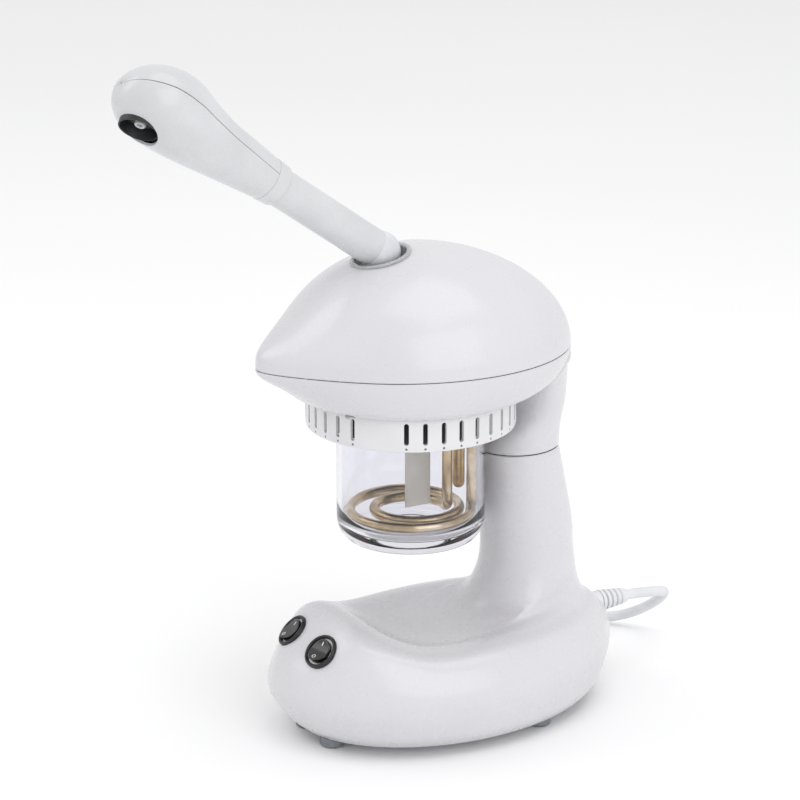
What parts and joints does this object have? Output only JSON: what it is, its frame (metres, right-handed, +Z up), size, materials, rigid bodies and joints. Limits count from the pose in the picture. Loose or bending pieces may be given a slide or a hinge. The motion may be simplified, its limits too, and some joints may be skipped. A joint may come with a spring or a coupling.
{
  "type": "facial steamer",
  "caption": "Desk-top facial steamer: domed head on a column, glass water jar with an immersed heater below it, and a swivelling arm with a turning steam nozzle.",
  "frame": {"origin": "on the table, under the middle of the object's outline without its free mains lead; the jar's axis stands 13.3 mm behind it", "axes": "+Z up, -Y the front, where the arm and the switches point, +X the right switch's side"},
  "size_m": [0.24, 0.4088, 0.4375],
  "materials": {
    "white_shell": "pearl gloss",
    "grey_plate": "matt",
    "screw_steel": "zinc plated",
    "foot_rubber": "matt",
    "switch_black": "satin",
    "rocker_black": "gloss",
    "terminal_brass": "turned",
    "cream_plastic": "satin",
    "ballast_blue": "enamel",
    "loom_grey": "sleeved",
    "cord_grey": "soft",
    "tie_black": "matt",
    "ring_white": "satin gloss",
    "seal_rubber": "silicone",
    "jar_glass": "clear",
    "heater_steel": "heat tinted",
    "cutout_black": "satin",
    "lamp_glass": "clear",
    "socket_chrome": "polished",
    "elbow_grey": "satin",
    "arm_white": "gloss"
  },
  "bodies": {
    "stand": {"base_shell": "white_shell", "base_plate": "grey_plate", "screw_posts": "grey_plate", "base_plate_screws": "screw_steel", "rubber_feet": "foot_rubber", "left_switch_body": "switch_black", "right_switch_body": "switch_black", "switch_pins": "terminal_brass", "terminal_block": "cream_plastic", "lamp_ballast": "ballast_blue", "wiring_loom": "loom_grey", "cord_strain_relief": "cord_grey", "power_cord": "cord_grey", "cord_coil": "cord_grey", "cord_tie": "tie_black", "power_plug": "cord_grey", "plug_pins": "terminal_brass", "neck_cover": "white_shell", "head_lower_shell": "white_shell", "head_upper_shell": "white_shell", "head_screws": "screw_steel", "head_posts": "white_shell", "vent_ring": "ring_white", "vent_ring_screws": "screw_steel", "boiler_lid": "ring_white", "heater_tube": "heater_steel", "heater_nuts": "terminal_brass", "thermostat_pocket": "terminal_brass", "thermal_cutout": "cutout_black", "level_strip": "cream_plastic", "steam_duct": "ring_white", "lamp_holder": "cream_plastic", "ozone_lamp": "lamp_glass", "socket_ring": "socket_chrome"},
    "seal": {"jar_seal": "seal_rubber"},
    "jar": {"glass_jar": "jar_glass"},
    "arm": {"swivel_elbow": "elbow_grey", "arm_tube": "arm_white", "tube_ring": "tie_black"},
    "nozzle": {"nozzle_collar": "arm_white", "nozzle_lower_shell": "arm_white", "nozzle_upper_shell": "arm_white", "nozzle_mouth": "cutout_black", "nozzle_jet": "elbow_grey", "nozzle_duct": "elbow_grey"},
    "left_rocker": {"left_rocker": "rocker_black"},
    "right_rocker": {"right_rocker": "rocker_black"}
  },
  "joints": [
    {"name": "arm_swivel", "type": "hinge", "parent": "stand", "child": "arm", "pos_m": [0, -0.0087, 0.311], "axis": [0, -0.2419, 0.9703], "continuous": true},
    {"name": "nozzle_turn", "type": "hinge", "parent": "arm", "child": "nozzle", "pos_m": [0, -0.0087, 0.311], "axis": [0, -0.8192, 0.5736], "range_deg": [-114, 66]},
    {"name": "jar_turn", "type": "hinge", "parent": "stand", "child": "seal", "pos_m": [0, 0.0133, 0.211], "axis": [0, 0, -1], "range_deg": [0, 60]},
    {"name": "jar_lower", "type": "slide", "parent": "seal", "child": "jar", "axis": [0, 0, -1], "range_m": [0, 0.034]},
    {"name": "left_rocker", "type": "hinge", "parent": "stand", "child": "left_rocker", "pos_m": [-0.01949, -0.06128, 0.06526], "axis": [0.9736, -0.2281, 0], "range_deg": [0, 16]},
    {"name": "right_rocker", "type": "hinge", "parent": "stand", "child": "right_rocker", "pos_m": [0.01949, -0.06128, 0.06526], "axis": [0.9736, 0.2281, 0], "range_deg": [0, 16]}
  ]
}
